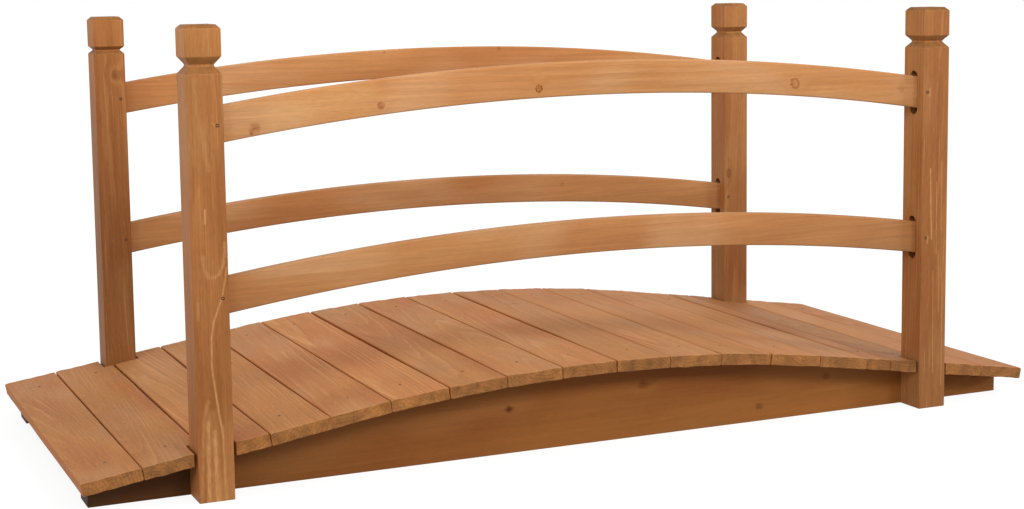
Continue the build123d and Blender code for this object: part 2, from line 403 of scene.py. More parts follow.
def stained_fir(slot):
    """Softwood under a brown stain: satin, with pale late-wood lines, knots and dull end grain."""
    finish = finishes[slot]
    material = bpy.data.materials.new(finish["material"])
    tree = bare_tree(material)
    log = add(tree, "ShaderNodeAttribute", attribute_name="log").outputs["Vector"]
    board = add(tree, "ShaderNodeAttribute", attribute_name="board").outputs["Vector"]
    tone = add(tree, "ShaderNodeAttribute", attribute_name="tone").outputs["Fac"]

    # Noise fields, each stretched on the log to its own length and width
    fields = {}
    for name, ((length, width), detail) in noise_sizes.items():
        stretch = (1 / (length * millimetre), 1 / (width * millimetre), 1 / (width * millimetre))
        place = add(tree, "ShaderNodeVectorMath", {0: log, 1: stretch}, operation="MULTIPLY")
        noise_inputs = {"Vector": place, "Scale": 1.0, "Detail": detail, "Roughness": noise_roughness}
        fields[name] = add(tree, "ShaderNodeTexNoise", noise_inputs)

    # Place on the board's face, ragged by a few millimetres so that nothing drawn on it has a clean rim
    shift = {0: fields["grit"].outputs["Color"], 1: (0.5, 0.5, 0.5)}
    shifted = add(tree, "ShaderNodeVectorMath", shift, operation="SUBTRACT")
    ragged = {0: shifted, 1: (grit_reach * millimetre,) * 3, 2: board}
    place = add(tree, "ShaderNodeVectorMath", ragged, operation="MULTIPLY_ADD")
    face = add(tree, "ShaderNodeVectorMath", {0: place, 1: (1, 1, 0)}, operation="MULTIPLY")

    # Knots: distance to the nearest, in its own radii, and how dark the darkest core and rim are here
    nearest, knot_cores, knot_rims = no_knot, 0.0, 0.0
    for middle, radius, core, rim in knots_of(slot):
        squeeze = (1 / (radius * knot_stretch[slot]), 1 / radius, 0)
        offset = add(tree, "ShaderNodeVectorMath", {0: face, 1: middle}, operation="SUBTRACT")
        in_radii = add(tree, "ShaderNodeVectorMath", {0: offset, 1: squeeze}, operation="MULTIPLY")
        radii = add(tree, "ShaderNodeVectorMath", {0: in_radii}, operation="LENGTH")
        dark_core = add(tree, "ShaderNodeMapRange", span("core", radii, core, 0.0), **eased)
        off_rim = add(tree, "ShaderNodeMath", {0: radii, 1: 1.0}, operation="SUBTRACT")
        off_rim = add(tree, "ShaderNodeMath", {0: off_rim}, operation="ABSOLUTE")
        dark_rim = add(tree, "ShaderNodeMapRange", span("rim", off_rim, rim, 0.0), **eased)
        nearest = add(tree, "ShaderNodeMath", {0: nearest, 1: radii}, operation="MINIMUM")
        knot_cores = add(tree, "ShaderNodeMath", {0: knot_cores, 1: dark_core}, operation="MAXIMUM")
        knot_rims = add(tree, "ShaderNodeMath", {0: knot_rims, 1: dark_rim}, operation="MAXIMUM")

    # Streaks: distance to each straight stretch, on the side of the board that shows
    streak = 0.0
    flat_board = add(tree, "ShaderNodeVectorMath", {0: board, 1: (1, 1, 0)}, operation="MULTIPLY")
    for start, run, width, strength in streaks_of(slot):
        offset = add(tree, "ShaderNodeVectorMath", {0: flat_board, 1: start}, operation="SUBTRACT")
        share_inputs = {0: offset, 1: run / run.length_squared}
        share = add(tree, "ShaderNodeVectorMath", share_inputs, operation="DOT_PRODUCT")
        within = add(tree, "ShaderNodeMapRange", {"Value": share})
        foot = add(tree, "ShaderNodeVectorMath", {0: run, "Scale": within}, operation="SCALE")
        away = add(tree, "ShaderNodeVectorMath", {0: offset, 1: foot}, operation="DISTANCE")
        line_range = {"Value": away, "From Max": width, "To Min": strength, "To Max": 0.0}
        line = add(tree, "ShaderNodeMapRange", line_range, **eased)
        streak = add(tree, "ShaderNodeMath", {0: streak, 1: line}, operation="MAXIMUM")
    through = add(tree, "ShaderNodeSeparateXYZ", {0: board}).outputs["Z"]
    front_range = {"Value": through, "From Max": shown_sides[slot] * front_fade * millimetre}
    front = add(tree, "ShaderNodeMapRange", front_range)
    patchy = add(tree, "ShaderNodeMapRange", span("patchy", fields["mottle"]))
    for share in (front, patchy):
        streak = add(tree, "ShaderNodeMath", {0: streak, 1: share}, operation="MULTIPLY")

    # Rings: distance from the pith after wavering, in good years and bad, pushed round the knots
    place = log
    for name, reach in (("waver", waver_reach), ("ripple", finish["ripple"])):
        bend = {0: fields[name].outputs["Color"], 1: (reach * millimetre,) * 3, 2: place}
        place = add(tree, "ShaderNodeVectorMath", bend, operation="MULTIPLY_ADD")
    flat = add(tree, "ShaderNodeVectorMath", {0: place, 1: (0, 1, 1)}, operation="MULTIPLY")
    from_pith = add(tree, "ShaderNodeVectorMath", {0: flat}, operation="LENGTH")
    age = add(tree, "ShaderNodeMath", {0: from_pith, 1: growth_size * millimetre}, operation="DIVIDE")
    year_inputs = {"W": age, "Scale": 1.0, "Detail": 1.0}
    years = add(tree, "ShaderNodeTexNoise", year_inputs, noise_dimensions="1D")
    swell = add(tree, "ShaderNodeMapRange", span("swell", nearest), **eased)
    for share, reach in ((years, finish["growth"]), (swell, knot_push)):
        push = {0: share, 1: reach * millimetre, 2: from_pith}
        from_pith = add(tree, "ShaderNodeMath", push, operation="MULTIPLY_ADD")
    count = add(tree, "ShaderNodeMath", {0: from_pith, 1: finish["ring"] * millimetre}, operation="DIVIDE")
    phase = add(tree, "ShaderNodeMath", {0: count}, operation="FRACT")
    rise, fall, early = [
        add(tree, "ShaderNodeMapRange", span(name, phase), **eased) for name in ("rise", "fall", "early")
    ]
    late = add(tree, "ShaderNodeMath", {0: rise, 1: fall}, operation="MULTIPLY")
    presence = add(tree, "ShaderNodeMapRange", span("presence", fields["presence"]))
    shown, soft = [
        add(tree, "ShaderNodeMath", {0: wood, 1: presence}, operation="MULTIPLY") for wood in (late, early)
    ]

    # Stain: the field clouded with a darker tone and thin patches, and the late-wood lines on it
    tints = {
        "field": span("cloud", fields["cloud"]), "drift": span("drift", fields["drift"]),
        "line": span("line", shown, finish["line_share"]),
    }
    layers = [(add(tree, "ShaderNodeMapRange", tints[tint], **eased), finish[tint]) for tint in tints]
    colour = lay_over(tree, linear(finish["shade"]), layers)

    # What only makes it darker or lighter: the board's tone, which on rails and stringers holds painted light
    # and shade, early wood, fibres and mottle
    shades = [span("whole", soft, 1.0, 1 - finish["early_share"])]
    for name, trait in (("fibre", "fibre_share"), ("streak", "fibre_share"), ("mottle", "mottle_share")):
        shades.append(span("level", fields[name], 1 - finish[trait], 1 + finish[trait]))
    depth = tone
    for shade_range in shades:
        shade = add(tree, "ShaderNodeMapRange", shade_range)
        depth = add(tree, "ShaderNodeMath", {0: depth, 1: shade}, operation="MULTIPLY")
    colour = lay_over(tree, colour, [(1.0, depth)], blend_type="MULTIPLY")

    # Over the grain: long scars and short flecks where the stain was lifted, streaks, knots and their rims
    broken = add(tree, "ShaderNodeMapRange", span("broken", fields["grit"]))
    cores, rims = [
        add(tree, "ShaderNodeMath", {0: dark, 1: broken}, operation="MULTIPLY")
        for dark in (knot_cores, knot_rims)
    ]
    marks = []
    for name in ("scar", "fleck"):
        mark_range = span(name, fields[name], finish[f"{name}_share"])
        marks.append((add(tree, "ShaderNodeMapRange", mark_range, **eased), finish["pale"]))
    marks += [(streak, finish["pale"]), (cores, finish["knot"]), (rims, finish["knot"])]
    colour = lay_over(tree, colour, marks)

    # Sawn ends face along the fibres and eased edges between two axes, and the sides of the joints get
    # painted shade, warmed like light bounced between the planks
    normal = add(tree, "ShaderNodeTexCoord").outputs["Normal"]
    size = add(tree, "ShaderNodeVectorMath", {0: normal}, operation="ABSOLUTE")
    facing = add(tree, "ShaderNodeSeparateXYZ", {0: size}).outputs
    end = add(tree, "ShaderNodeMapRange", span("end", facing[finish["fibre_axis"]]), **eased)
    end_shade = tone
    sources = {**fields, "late": late}
    for name, shares in sawn_shares.items():
        sawn = add(tree, "ShaderNodeMapRange", span("level", sources[name], *shares))
        end_shade = add(tree, "ShaderNodeMath", {0: end_shade, 1: sawn}, operation="MULTIPLY")
    end_colour = lay_over(tree, linear(finish["end"]), [(1.0, end_shade)], blend_type="MULTIPLY")
    wide = add(tree, "ShaderNodeMath", {0: facing["X"], 1: facing["Y"]}, operation="MAXIMUM")
    widest = add(tree, "ShaderNodeMath", {0: wide, 1: facing["Z"]}, operation="MAXIMUM")
    edge = add(tree, "ShaderNodeMapRange", span("edge", widest, finish["wear_share"], 0.0), **eased)
    side = add(tree, "ShaderNodeMapRange", span("side", facing["X"], finish["grime_share"]), **eased)
    colour = lay_over(tree, colour, [(end, end_colour), (edge, finish["pale"]), (side, joint_wall_shade)])

    # Relief of rings, fibres and saw marks, and a satin that breaks up along the fibres
    relief = add(tree, "ShaderNodeMath", {0: shown, 1: ring_relief_share, 2: depth}, operation="MULTIPLY_ADD")
    bump_inputs = {"Strength": finish["relief"], "Distance": relief_height * millimetre, "Height": relief}
    bump = add(tree, "ShaderNodeBump", bump_inputs)
    rough = add(tree, "ShaderNodeMapRange", span("level", fields["fibre"], *finish["roughness"]))
    surface = {
        "Base Color": colour, "Roughness": rough, "Normal": bump, "IOR": stain_ior,
        "Specular IOR Level": specular_level,
    }
    shader = add(tree, "ShaderNodeBsdfPrincipled", surface)
    add(tree, "ShaderNodeOutputMaterial", {"Surface": shader})
    return material


woods = {slot: stained_fir(slot) for slot in finishes}
for slot, wood in woods.items():
    print(slot, "->", wood.name, "with", len(wood.node_tree.nodes), "nodes")

# %% [markdown]
# ## Finishing a board
# A copied CAD mesh is loose triangles with knife-sharp corners, and light never catches such corners.
# Real timber is eased with a plane or sandpaper. A Bevel modifier rounds what is sharp and a Weighted
# Normal keeps the large faces flat in the shading. Both are evaluated into a plain mesh, so that the
# log attributes are written on the final points.

# %% Helpers that finish a board
merge_distance, flat_angle = 0.02 * millimetre, 0.4


def settle(piece):
    """Turns a piece's modifiers into plain mesh."""
    graph = bpy.context.evaluated_depsgraph_get()
    mesh = bpy.data.meshes.new_from_object(piece.evaluated_get(graph))
    piece.modifiers.clear()
    piece.data = mesh


def ease_edges(piece, width, segments, angle):
    """Rounds the edges that turn by more than angle degrees, and keeps flat faces flat to the eye."""
    bevel = piece.modifiers.new("eased edges", "BEVEL")
    bevel.width = width * millimetre
    bevel.segments = segments
    bevel.limit_method = "ANGLE"
    bevel.angle_limit = math.radians(angle)
    normals = piece.modifiers.new("flat faces", "WEIGHTED_NORMAL")
    normals.keep_sharp = True
    settle(piece)


def copy_of(node, along):
    """A piece from a CAD node's mesh, merged into whole faces, with a ring of points at each tone's place."""
    low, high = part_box(node)
    mesh = frame["nodes"][node].data.copy()
    shape = bmesh.new()
    shape.from_mesh(mesh)
    bmesh.ops.remove_doubles(shape, verts=shape.verts, dist=merge_distance)
    flat = math.radians(flat_angle)
    bmesh.ops.dissolve_limit(shape, angle_limit=flat, verts=shape.verts, edges=shape.edges)
    for place, _ in stain_and_shade_tones.get(node, ())[1:-1]:
        whole = [*shape.verts, *shape.edges, *shape.faces]
        ring = (low + high) / 2 + along * place * millimetre
        bmesh.ops.bisect_plane(shape, geom=whole, dist=merge_distance, plane_co=ring, plane_no=along)
    for face in shape.faces:
        face.smooth = True
    shape.to_mesh(mesh)
    shape.free()
    mesh.materials.clear()
    piece = bpy.data.objects.new(f"{node}_board", mesh)
    scene.collection.objects.link(piece)
    return piece


def stand_in(piece, node):
    """Gives a finished piece its slot's finish if it has none, puts it under its body, and hides the CAD node
    that it stands for.
    """
    slot = slot_of[node]
    if not piece.data.materials:
        piece.data.materials.append(woods[slot])
    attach(piece, "root")
    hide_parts(node)


up, right_way, back_way = Vector((0, 0, 1)), Vector((1, 0, 0)), Vector((0, 1, 0))
print("helpers for boards ready")

# %% [markdown]
# ## Posts
# The four posts are square timbers whose head is set off by a neck sawn into all four faces, with two
# round-ended mortises for the rails. They could be modelled again from a square section, but the CAD
# solid already has every cut in place, so a copy of it is merged and its arrises are eased by a little
# under 2 mm, which softens the head and the shoulders as sanding does.

# %% Posts
post_nodes = [node for node in sorted(boards) if slot_of[node] == "post"]
post_ease, post_ease_steps, sharp_turn = 1.7, 3, 25
# The necks were sawn by hand: how tall each cut came out, against the tallest
neck_drop, neck_reach, neck_shelf = 49.0, 12.0, 2.0
neck_shares = {"post_back_left": 0.52, "post_back_right": 0.85, "post_front_right": 0.84}


def saw_neck(post, low, high, share):
    """Makes the neck of a post lower, and a little shallower with it."""
    axis, half = (low + high) / 2, (high.x - low.x) / 2
    neck = high.z - neck_drop * millimetre
    shelf = half - neck_shelf * millimetre
    for vertex in post.data.vertices:
        off = vertex.co - axis
        if abs(vertex.co.z - neck) < neck_reach * millimetre:
            vertex.co.z = neck + (vertex.co.z - neck) * share
            if abs(off.x) < shelf:
                deeper = half - (half - abs(off.x)) * math.sqrt(share)
                vertex.co.x = axis.x + math.copysign(deeper, off.x)
                vertex.co.y = axis.y + math.copysign(deeper, off.y)


for node in post_nodes:
    low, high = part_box(node)
    post = copy_of(node, up)
    saw_neck(post, low, high, neck_shares.get(node, 1.0))
    ease_edges(post, post_ease, post_ease_steps, sharp_turn)
    cut_from_log(post, node, (low + high) / 2, up, right_way)
    stand_in(post, node)
    print(post.name, len(post.data.polygons), "faces")

# %% [markdown]
# ## Stringers
# The two long timbers that stand on the ground are sawn from one wide board each: straight below,
# arched above. The planks hide most of the arch, so a copy of the CAD solid with eased edges is enough.

# %% Stringers
stringer_nodes = [node for node in sorted(boards) if slot_of[node] == "stringer"]
stringer_ease, stringer_ease_steps = 1.2, 2
for node in stringer_nodes:
    low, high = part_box(node)
    stringer = copy_of(node, right_way)
    ease_edges(stringer, stringer_ease, stringer_ease_steps, sharp_turn)
    cut_from_log(stringer, node, (low + high) / 2, right_way, up)
    stand_in(stringer, node)
    print(stringer.name, len(stringer.data.polygons), "faces")

# %% [markdown]
# ## Growing pieces from a rule
# The planks, the rails and the screws repeat or follow a rule, so Geometry Nodes make them: a small
# tree with named inputs, used once for each board with that board's own sizes. The result is turned
# into a plain mesh straight away and the modifier is dropped, because an export keeps only meshes.

# %% Helpers that run a rule
corner_steps = 3


def new_rule(name, inputs):
    """A geometry tree with these named inputs. Returns the tree and its input sockets by name."""
    tree = bpy.data.node_groups.new(name, "GeometryNodeTree")
    tree.interface.new_socket(name="Geometry", in_out="INPUT", socket_type="NodeSocketGeometry")
    tree.interface.new_socket(name="Geometry", in_out="OUTPUT", socket_type="NodeSocketGeometry")
    for label, kind in inputs.items():
        tree.interface.new_socket(name=label, in_out="INPUT", socket_type=f"NodeSocket{kind}")
    return tree, add(tree, "NodeGroupInput").outputs


def end_rule(tree, geometry, material):
    """Ends a tree: instances made real, the finish set, the result handed out."""
    real = add(tree, "GeometryNodeRealizeInstances", {"Geometry": geometry})
    finished = add(tree, "GeometryNodeSetMaterial", {"Geometry": real, "Material": material})
    add(tree, "NodeGroupOutput", {"Geometry": finished})


def sweep_board(tree, path, width, height, radius, steps=None):
    """Sweeps a rounded rectangle along a path. Its outline gets this many steps, if a number is given."""
    section = add(tree, "GeometryNodeCurvePrimitiveQuadrilateral", {"Width": width, "Height": height})
    round_inputs = {"Curve": section, "Count": corner_steps, "Radius": radius}
    outline = add(tree, "GeometryNodeFilletCurve", round_inputs, mode="POLY")
    if steps is not None:
        outline = add(tree, "GeometryNodeResampleCurve", {"Curve": outline, "Count": steps})
    sweep_inputs = {"Curve": path, "Profile Curve": outline, "Fill Caps": True}
    return add(tree, "GeometryNodeCurveToMesh", sweep_inputs)


def grow(name, tree, values, mesh=None):
    """A new piece: the tree run with these input values, then turned into a plain mesh."""
    piece = bpy.data.objects.new(name, mesh or bpy.data.meshes.new(name))
    scene.collection.objects.link(piece)
    modifier = piece.modifiers.new("rule", "NODES")
    modifier.node_group = tree
    for item in tree.interface.items_tree:
        if item.in_out == "INPUT" and item.name in values:
            modifier[item.identifier] = values[item.name]
    settle(piece)
    return piece


print("rules can be run")

# %% [markdown]
# ## Deck planks
# Eighteen boards lie across the stringers, each tangent to the arch. On the real deck no two joints
# are alike: some are closed to a hairline and some gape, and the sawn ends don't quite line up. The
# rule sweeps a rounded section along the plank, lets it waver by a fraction of a millimetre, lays it
# on its seat and cuts the notches round the posts. The widths of the joints are listed, and
# a plank beside a wide joint grows wider towards its ends, so that the joint closes there.

# %% Rule for a plank
plank_inputs = {
    "Width": "Float", "Length": "Float", "Thickness": "Float", "Edge radius": "Float", "Seat": "Vector",
    "Tilt": "Rotation", "Waver": "Float", "Waver length": "Float", "Seed": "Float",
    "Chip": "Float", "Chip length": "Float", "Chip reach": "Float",
    "Close left": "Float", "Close right": "Float", "Near reach": "Float", "Far reach": "Float",
    "Notched": "Bool", "Notch size": "Vector", "Front notch": "Vector", "Back notch": "Vector",
}
plank_rows, section_steps = 60, 96
plank_rule, plank = new_rule("plank_on_the_arch", plank_inputs)
half_length = add(plank_rule, "ShaderNodeMath", {0: plank["Length"], 1: 0.5}, operation="MULTIPLY")
far_end = add(plank_rule, "ShaderNodeCombineXYZ", {"Y": half_length})
near_end = add(plank_rule, "ShaderNodeVectorMath", {0: far_end, "Scale": -1.0}, operation="SCALE")
path = add(plank_rule, "GeometryNodeCurvePrimitiveLine", {"Start": near_end, "End": far_end})
rows = add(plank_rule, "GeometryNodeResampleCurve", {"Curve": path, "Count": plank_rows})
swept = sweep_board(plank_rule, rows, plank["Width"], plank["Thickness"], plank["Edge radius"], section_steps)
here = add(plank_rule, "GeometryNodeInputPosition")
sideway, along = add(plank_rule, "ShaderNodeSeparateXYZ", {0: here}).outputs[:2]
from_middle = add(plank_rule, "ShaderNodeMath", {0: along}, operation="ABSOLUTE")
inside = add(plank_rule, "ShaderNodeMath", {0: half_length, 1: from_middle}, operation="SUBTRACT")
chip_range = {"Value": inside, "From Max": plank["Chip reach"], "To Min": plank["Chip"], "To Max": 0.0}
chip = add(plank_rule, "ShaderNodeMapRange", chip_range)
half_width = add(plank_rule, "ShaderNodeMath", {0: plank["Width"], 1: 0.5}, operation="MULTIPLY")
left_edge, open_left = [
    add(plank_rule, "ShaderNodeMath", {0: length, 1: -1.0}, operation="MULTIPLY")
    for length in (half_width, plank["Close left"])
]
wider_range = {
    "Value": sideway, "From Min": left_edge, "From Max": half_width,
    "To Min": open_left, "To Max": plank["Close right"],
}
wider = add(plank_rule, "ShaderNodeMapRange", wider_range)
closing = 0.0
for sense, reach in (("ADD", plank["Near reach"]), ("SUBTRACT", plank["Far reach"])):
    from_end = add(plank_rule, "ShaderNodeMath", {0: half_length, 1: along}, operation=sense)
    close_range = {"Value": from_end, "From Max": reach, "To Min": 1.0, "To Max": 0.0}
    closer = add(plank_rule, "ShaderNodeMapRange", close_range, **eased)
    closing = add(plank_rule, "ShaderNodeMath", {0: closing, 1: closer}, operation="MAXIMUM")
closed = add(plank_rule, "ShaderNodeMath", {0: wider, 1: closing}, operation="MULTIPLY")
closed_by = add(plank_rule, "ShaderNodeCombineXYZ", {"X": closed})
wavered = add(plank_rule, "GeometryNodeSetPosition", {"Geometry": swept, "Offset": closed_by})
for size, reach in ((plank["Waver length"], plank["Waver"]), (plank["Chip length"], chip)):
    wave_place = add(plank_rule, "ShaderNodeVectorMath", {0: here, 1: size}, operation="DIVIDE")
    wave_inputs = {"Vector": wave_place, "W": plank["Seed"], "Scale": 1.0, "Detail": 1.0}
    wave = add(plank_rule, "ShaderNodeTexNoise", wave_inputs, noise_dimensions="4D").outputs["Color"]
    centred = add(plank_rule, "ShaderNodeVectorMath", {0: wave, 1: (0.5, 0.5, 0.5)}, operation="SUBTRACT")
    sideways = add(plank_rule, "ShaderNodeVectorMath", {0: centred, 1: (1, 0, 1)}, operation="MULTIPLY")
    moved = add(plank_rule, "ShaderNodeVectorMath", {0: sideways, "Scale": reach}, operation="SCALE")
    wavered = add(plank_rule, "GeometryNodeSetPosition", {"Geometry": wavered, "Offset": moved})
laid_inputs = {"Geometry": wavered, "Translation": plank["Seat"], "Rotation": plank["Tilt"]}
laid = add(plank_rule, "GeometryNodeTransform", laid_inputs)
block = add(plank_rule, "GeometryNodeMeshCube", {"Size": plank["Notch size"]})
saw_cuts = [
    add(plank_rule, "GeometryNodeTransform", {"Geometry": block, "Translation": plank[label]})
    for label in ("Front notch", "Back notch")
]
both_cuts = add(plank_rule, "GeometryNodeJoinGeometry", {0: saw_cuts})
exact_cut = {"operation": "DIFFERENCE", "solver": "EXACT"}
notched = add(plank_rule, "GeometryNodeMeshBoolean", {"Mesh 1": laid, "Mesh 2": both_cuts}, **exact_cut)
choice_inputs = {"Switch": plank["Notched"], "False": laid, "True": notched}
board_shape = add(plank_rule, "GeometryNodeSwitch", choice_inputs, input_type="GEOMETRY")
shaded = add(plank_rule, "GeometryNodeSetShadeSmooth", {"Geometry": board_shape})
end_rule(plank_rule, shaded, woods["deck"])
print("plank rule:", len(plank_rule.nodes), "nodes")

# %% Laying the planks
plank_nodes = [node for node in sorted(boards) if slot_of[node] == "deck"]
# Width of each joint in millimetres where it is widest, from the left end of the deck, the one width of the
# CAD joints, and the width that the wide ones close to at the planks' ends
joints = (1.8, 3.2, 3.0, 2.3, 1.0, 4.2, 3.5, 1.4, 5.1, 0.9, 1.6, 0.9, 1.0, 6.8, 0.9, 2.8, 1.4)
cad_joint, end_joint = 2.4, 0.8
# Sizes that all planks share. The reaches are how far from its end a plank is chipped, and how far from the
# near and the far end the joints close.
plank_sizes = {
    "Edge radius": 1.4, "Waver": 0.9, "Waver length": 130, "Chip": 2.8, "Chip length": 16, "Chip reach": 30,
    "Near reach": 280, "Far reach": 50,
}
end_scatter, highest_seed = 1.3, 100
plank_ease, plank_ease_steps, plank_sharp_turn = 1.1, 3, 40
notch_side, notch_back, notch_past, notch_tall = 4.0, 1.0, 20.0, 400.0
under_limit = -0.9


def seat_of(node):
    """The seat of a CAD plank: the middle of its underside, the ways across and up, width and thickness."""
    solid = frame["nodes"][node].data
    under = [face for face in solid.polygons if face.normal.z < under_limit]
    upward = -sum((face.normal * face.area for face in under), Vector()).normalized()
    across = Vector((upward.z, 0, -upward.x))
    corners = [solid.vertices[index].co for face in under for index in face.vertices]
    left, right = min(map(across.dot, corners)), max(map(across.dot, corners))
    bottom = min(map(upward.dot, corners))
    top = max(upward.dot(vertex.co) for vertex in solid.vertices)
    return across * (left + right) / 2 + upward * bottom, across, upward, right - left, top - bottom


def notches_of(node):
    """Size and places of the cuts round the two posts that pass through a plank, or None."""
    low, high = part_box(node)
    side, back, past = notch_side * millimetre, notch_back * millimetre, notch_past * millimetre
    for front_post in ("post_front_left", "post_front_right"):
        post_low, post_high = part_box(front_post)
        if post_low.x - side < high.x and post_high.x + side > low.x:
            cut_width = post_high.x - post_low.x + 2 * side
            cut_depth = post_high.y - post_low.y + past + back
            x, y = (post_low.x + post_high.x) / 2, post_high.y + back - cut_depth / 2
            return (cut_width, cut_depth, notch_tall * millimetre), (x, y, 0), (x, -y, 0)
    return None


seats = {}
for number, node in enumerate(plank_nodes):
    low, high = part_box(node)
    middle, across, upward, width, thickness = seat_of(node)
    beside = slice(number, number + 2)
    trims = [(joint - cad_joint) / 2 * millimetre for joint in (cad_joint, *joints, cad_joint)[beside]]
    closes = [max(joint - end_joint, 0.0) / 2 * millimetre for joint in (0.0, *joints, 0.0)[beside]]
    notches = notches_of(node)
    values = {name: size * millimetre for name, size in plank_sizes.items()}
    values.update({
        "Width": width - sum(trims),
        "Length": high.y - low.y,
        "Thickness": thickness,
        "Seat": middle + across * (trims[0] - trims[1]) / 2 + upward * thickness / 2
        + back_way * draw.uniform(-end_scatter, end_scatter) * millimetre,
        "Tilt": (0.0, math.atan2(upward.x, upward.z), 0.0),
        "Close left": closes[0],
        "Close right": closes[1],
        "Seed": draw.uniform(0, highest_seed),
        "Notched": notches is not None,
    })
    if notches is not None:
        values["Notch size"], values["Front notch"], values["Back notch"] = notches
    piece = grow(f"{node}_board", plank_rule, values)
    ease_edges(piece, plank_ease, plank_ease_steps, plank_sharp_turn)
    cut_from_log(piece, node, middle + upward * thickness / 2, back_way, across)
    stand_in(piece, node)
    seats[node] = (middle, across, upward, thickness)
print("planks laid:", len(seats), "each of about", len(piece.data.polygons), "faces")

# %% [markdown]
# ## Rails
# Four boards are sawn to a shallow bow and let into the posts at both ends. Each is a rule by itself:
# a rounded rectangle swept along an arc through three points. The arc comes from the CAD node's box,
# so that the rail still ends inside its mortises. The grain stays straight, because a bowed rail is
# sawn from a straight board and not bent, and so the lines run out along its edges.

# %% Rule for a rail
rail_inputs = {
    "Left end": "Vector", "Crown": "Vector", "Right end": "Vector", "Depth": "Float", "Thickness": "Float",
    "Edge radius": "Float",
}
rail_rows = 120
rail_rule, rail = new_rule("bowed_rail", rail_inputs)
arc_inputs = {
    "Resolution": rail_rows, "Start": rail["Left end"], "Middle": rail["Crown"], "End": rail["Right end"],
}
arc = add(rail_rule, "GeometryNodeCurveArc", arc_inputs, mode="POINTS")
swept = sweep_board(rail_rule, arc, rail["Thickness"], rail["Depth"], rail["Edge radius"])
shaded = add(rail_rule, "GeometryNodeSetShadeSmooth", {"Geometry": swept})
end_rule(rail_rule, shaded, woods["rail"])
print("rail rule:", len(rail_rule.nodes), "nodes")

# %% Bowing the rails
rail_nodes = [node for node in sorted(boards) if slot_of[node] == "rail"]
rail_edge = 2.2
rail_ease, rail_ease_steps, rail_sharp_turn = 0.7, 1, 60
rail_lines = {}
for node in rail_nodes:
    low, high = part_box(node)
    depth = rail_depth * millimetre
    rise = high.z - depth - low.z
    radius = (high.x ** 2 + rise ** 2) / (2 * rise) + depth / 2
    crown = Vector((0, (low.y + high.y) / 2, high.z - depth / 2))
    rail_end = high.x - depth / 2 * high.x / radius
    drop = radius - math.sqrt(radius ** 2 - rail_end ** 2)
    values = {
        "Left end": crown + Vector((-rail_end, 0, -drop)),
        "Crown": crown,
        "Right end": crown + Vector((rail_end, 0, -drop)),
        "Depth": depth,
        "Thickness": high.y - low.y,
        "Edge radius": rail_edge * millimetre,
    }
    piece = grow(f"{node}_board", rail_rule, values)
    ease_edges(piece, rail_ease, rail_ease_steps, rail_sharp_turn)
    cut_from_log(piece, node, crown, right_way, up, lambda x: radius - np.sqrt(radius ** 2 - x ** 2))
    stand_in(piece, node)
    rail_lines[node] = (crown, radius)
    print(piece.name, "radius", round(radius, 3), "m,", len(piece.data.polygons), "faces")

# %% [markdown]
# ## Screws
# Small dark countersunk screws hold every plank to each stringer, each rail end in its post, and the
# posts to the stringers from inside. A head is a low cone frustum with a crossed drive. The rule puts
# one on each point of a cloud, turned to face the way that the point says and spun at random, since no
# one lines up the slots. The steel is zinc plated and darkened by the stain.

# %% Steel of the screws
steel_dark, steel_bright = "#2E1F14", "#6A5442"
steel_patch, steel_metallic, steel_roughness = 1.5, 0.85, (0.38, 0.62)


def plated_steel():
    """Zinc-plated steel, stained brown: a soft grey-brown gleam in patches."""
    material = bpy.data.materials.new("stained_zinc_plated_steel")
    tree = bare_tree(material)
    place = add(tree, "ShaderNodeTexCoord").outputs["Object"]
    patch_inputs = {"Vector": place, "Scale": 1 / (steel_patch * millimetre), "Detail": 2.0}
    patch = add(tree, "ShaderNodeTexNoise", patch_inputs)
    mixed = lay_over(tree, linear(steel_dark), [(patch, steel_bright)])
    rough = add(tree, "ShaderNodeMapRange", span("level", patch, *steel_roughness))
    surface = {"Base Color": mixed, "Metallic": steel_metallic, "Roughness": rough}
    shader = add(tree, "ShaderNodeBsdfPrincipled", surface)
    add(tree, "ShaderNodeOutputMaterial", {"Surface": shader})
    return material


steel = plated_steel()
print(steel.name, "with", len(steel.node_tree.nodes), "nodes")

# %% Rule for screw heads
screw_inputs = {"Head radius": "Float", "Head height": "Float", "Drive": "Vector", "Seed": "Int"}
head_sides, shank_share = 20, 0.72
screw_rule, screw = new_rule("screw_heads", screw_inputs)
low_inputs = {0: screw["Head radius"], 1: shank_share}
low_radius = add(screw_rule, "ShaderNodeMath", low_inputs, operation="MULTIPLY")
head_inputs = {
    "Vertices": head_sides, "Radius Top": screw["Head radius"], "Radius Bottom": low_radius,
    "Depth": screw["Head height"],
}
head = add(screw_rule, "GeometryNodeMeshCone", head_inputs)
sunk = add(screw_rule, "ShaderNodeCombineXYZ", {"Z": screw["Head height"]})
bars = []
for quarter in (0.0, math.pi / 2):
    slot_bar = add(screw_rule, "GeometryNodeMeshCube", {"Size": screw["Drive"]})
    bar_inputs = {"Geometry": slot_bar, "Translation": sunk, "Rotation": (0.0, 0.0, quarter)}
    bars.append(add(screw_rule, "GeometryNodeTransform", bar_inputs))
drive = add(screw_rule, "GeometryNodeJoinGeometry", {0: bars})
cross_inputs = {"Mesh 1": head, "Mesh 2": drive, "Self Intersection": True}
crossed = add(screw_rule, "GeometryNodeMeshBoolean", cross_inputs, **exact_cut)
facing_inputs = {"Name": "facing"}
facing = add(screw_rule, "GeometryNodeInputNamedAttribute", facing_inputs, data_type="FLOAT_VECTOR")
turned = add(screw_rule, "FunctionNodeAlignRotationToVector", {"Vector": facing}, axis="Z")
